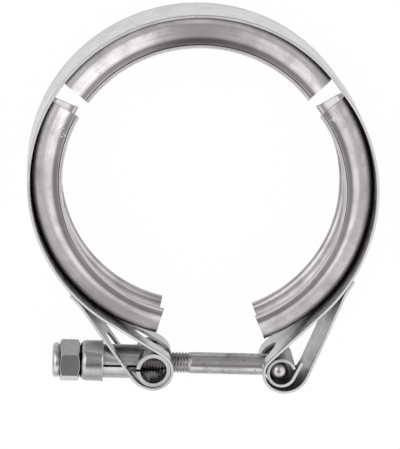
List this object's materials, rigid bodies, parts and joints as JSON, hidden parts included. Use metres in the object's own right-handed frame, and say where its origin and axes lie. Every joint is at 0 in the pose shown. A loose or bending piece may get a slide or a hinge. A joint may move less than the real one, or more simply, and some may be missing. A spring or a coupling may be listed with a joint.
{
  "type": "v-band clamp",
  "caption": "Stainless V-band pipe clamp: V retainers welded inside a sprung strap, closed by a T-bolt, swivelling trunnion, cup collar and hex lock nut.",
  "frame": {"origin": "centre of the ring on its middle plane", "axes": "+Z along the ring's axis, +Y towards the crown of the ring, T-bolt across the mouth at -Y with the nut at -X"},
  "size_m": [0.1018, 0.1135, 0.019],
  "materials": {
    "strap_steel": "rolled stainless strip, bright, with fine scratches along its length",
    "retainer_steel": "roll-formed stainless sheet, satin and bright",
    "trunnion_steel": "stamped stainless sheet, slightly dull, cut edges bright",
    "bolt_steel": "stainless bolt, rolled thread, faintly stained shank",
    "nut_steel": "machined stainless, smooth and bright"
  },
  "bodies": {
    "crown": {"strap_crown": "strap_steel", "retainer_crown": "retainer_steel"},
    "left_arm": {"strap_left": "strap_steel", "retainer_left": "retainer_steel"},
    "right_arm": {"strap_right": "strap_steel", "retainer_right": "retainer_steel"},
    "trunnion": {"trunnion": "trunnion_steel", "collar_cup": "nut_steel"},
    "bolt": {"t_bolt": "bolt_steel", "bolt_sleeve": "trunnion_steel"},
    "nut": {"lock_nut": "nut_steel"}
  },
  "joints": [
    {"name": "left_flex", "type": "hinge", "parent": "crown", "child": "left_arm", "pos_m": [-0.0408, 0.0266, 0], "axis": [0, 0, 1], "range_deg": [0, 4.36]},
    {"name": "right_flex", "type": "hinge", "parent": "crown", "child": "right_arm", "pos_m": [0.0408, 0.0266, 0], "axis": [0, 0, -1], "range_deg": [0, 6.72]},
    {"name": "trunnion_pivot", "type": "hinge", "parent": "left_arm", "child": "trunnion", "pos_m": [-0.01334, -0.05644, 0], "axis": [0, 0, -1], "range_deg": [0, 5.61]},
    {"name": "bolt_pivot", "type": "hinge", "parent": "right_arm", "child": "bolt", "pos_m": [0.02433, -0.05798, 0], "axis": [0, 0, 1], "range_deg": [0, 5.47]},
    {"name": "nut_spin", "type": "hinge", "parent": "trunnion", "child": "nut", "pos_m": [-0.03732, -0.05547, 0], "axis": [0.9992, -0.0406, 0], "range_deg": [0, 6349.6]}
  ],
  "couplings": [
    {"joint": "left_flex", "follows": "nut_spin", "ratio": 0.00068666},
    {"joint": "right_flex", "follows": "nut_spin", "ratio": 0.0010577},
    {"joint": "trunnion_pivot", "follows": "nut_spin", "ratio": 0.00088279},
    {"joint": "bolt_pivot", "follows": "nut_spin", "ratio": 0.00086159}
  ]
}
